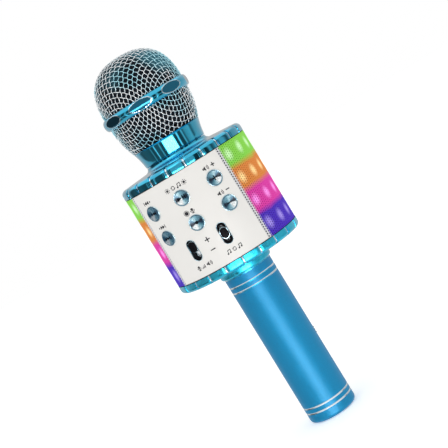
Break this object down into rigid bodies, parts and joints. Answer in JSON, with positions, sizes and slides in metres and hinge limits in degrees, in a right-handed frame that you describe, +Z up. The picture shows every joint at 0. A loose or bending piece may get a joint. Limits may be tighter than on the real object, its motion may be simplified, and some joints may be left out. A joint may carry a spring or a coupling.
{
  "type": "handheld singing microphone",
  "caption": "Toy singing microphone: wire-mesh ball head over a lit drum speaker with press buttons and sliders, on a blue tubular handle.",
  "frame": {"origin": "centre of the flat end face of the handle, on which the microphone can stand", "axes": "+Z up the handle's axis towards the mesh head; the control panel faces -Y; +X is on the right of someone looking at the panel"},
  "size_m": [0.0804, 0.0811, 0.245],
  "materials": {
    "grille_wire": "woven bright steel wire",
    "tinted_chrome": "cyan-blue tinted chrome plating",
    "foam": "open-cell dark foam",
    "plated_metal": "plain plated metal",
    "black_plastic": "moulded matt black plastic",
    "panel": "satin off-white moulded plastic",
    "speaker_mesh": "fine perforated sheet, thinly coated",
    "light_film": "translucent film lit in green, orange, magenta and violet bands",
    "led_board": "white solder mask",
    "led": "clear resin over a white cup",
    "speaker_paper": "pressed black paper",
    "circuit_board": "green solder mask",
    "button_chrome": "steel-blue chrome, dished and turned",
    "bright_trim": "pale blue bright chrome",
    "black_knob": "gloss black plastic",
    "handle_blue": "satin anodised blue with bright cut lines",
    "battery_wrap": "shrink sleeve",
    "wire_sleeve": "soft insulation"
  },
  "bodies": {
    "shell": {"upper_grille": "grille_wire", "grille_ring": "tinted_chrome", "lower_grille": "grille_wire", "foam_liner": "foam", "mic_capsule": "plated_metal", "capsule_mount": "black_plastic", "neck_collar": "tinted_chrome", "head_socket": "black_plastic", "top_cap": "tinted_chrome", "bottom_cap": "tinted_chrome", "front_panel": "panel", "rear_panel": "panel", "left_mesh": "speaker_mesh", "right_mesh": "speaker_mesh", "chassis": "black_plastic", "left_light_film": "light_film", "right_light_film": "light_film", "left_led_strips": "led_board", "right_led_strips": "led_board", "left_leds": "led", "right_leds": "led", "left_speaker_frame": "plated_metal", "right_speaker_frame": "plated_metal", "left_speaker_cone": "speaker_paper", "right_speaker_cone": "speaker_paper", "left_speaker_magnet": "plated_metal", "right_speaker_magnet": "plated_metal", "control_board": "circuit_board", "left_key_board": "circuit_board", "right_key_board": "circuit_board", "tact_switches": "plated_metal", "left_fader": "plated_metal", "right_fader": "plated_metal", "main_board": "circuit_board", "button_bezels": "bright_trim", "left_slot_well": "bright_trim", "right_slot_well": "bright_trim", "charge_port": "plated_metal", "card_slot": "plated_metal", "audio_jack": "black_plastic", "handle_collar": "tinted_chrome", "collar_nut": "plated_metal", "handle_tube": "handle_blue", "end_cap": "handle_blue", "battery_cell": "battery_wrap", "battery_cradle": "black_plastic", "battery_spring": "plated_metal", "switch_body": "black_plastic", "battery_leads": "wire_sleeve", "mic_lead": "wire_sleeve", "board_screws": "plated_metal"},
    "prev_button": {"prev_button": "button_chrome"},
    "next_button": {"next_button": "button_chrome"},
    "play_button": {"play_button": "button_chrome"},
    "record_button": {"record_button": "button_chrome"},
    "volume_up_button": {"volume_up_button": "button_chrome"},
    "volume_down_button": {"volume_down_button": "button_chrome"},
    "mic_volume_slider": {"mic_volume_slider": "black_knob"},
    "remix_slider": {"remix_slider": "black_knob"},
    "switch_knob": {"switch_knob": "black_knob"}
  },
  "joints": [
    {"name": "prev_press", "type": "slide", "parent": "shell", "child": "prev_button", "axis": [0.518, 0.8554, 0], "range_m": [0, 0.0008], "stiffness_N_per_m": 500},
    {"name": "next_press", "type": "slide", "parent": "shell", "child": "next_button", "axis": [0.518, 0.8554, 0], "range_m": [0, 0.0008], "stiffness_N_per_m": 500},
    {"name": "play_press", "type": "slide", "parent": "shell", "child": "play_button", "axis": [0, 1, 0], "range_m": [0, 0.0008], "stiffness_N_per_m": 500},
    {"name": "record_press", "type": "slide", "parent": "shell", "child": "record_button", "axis": [0, 1, 0], "range_m": [0, 0.0008], "stiffness_N_per_m": 500},
    {"name": "volume_up_press", "type": "slide", "parent": "shell", "child": "volume_up_button", "axis": [-0.518, 0.8554, 0], "range_m": [0, 0.0008], "stiffness_N_per_m": 500},
    {"name": "volume_down_press", "type": "slide", "parent": "shell", "child": "volume_down_button", "axis": [-0.518, 0.8554, 0], "range_m": [0, 0.0008], "stiffness_N_per_m": 500},
    {"name": "mic_volume_slide", "type": "slide", "parent": "shell", "child": "mic_volume_slider", "axis": [0, 0, 1], "range_m": [-0.00475, 0.00075]},
    {"name": "remix_slide", "type": "slide", "parent": "shell", "child": "remix_slider", "axis": [0, 0, 1], "range_m": [-0.00285, 0.00265]},
    {"name": "power_slide", "type": "slide", "parent": "shell", "child": "switch_knob", "axis": [0, 0, 1], "range_m": [0, 0.003]}
  ]
}
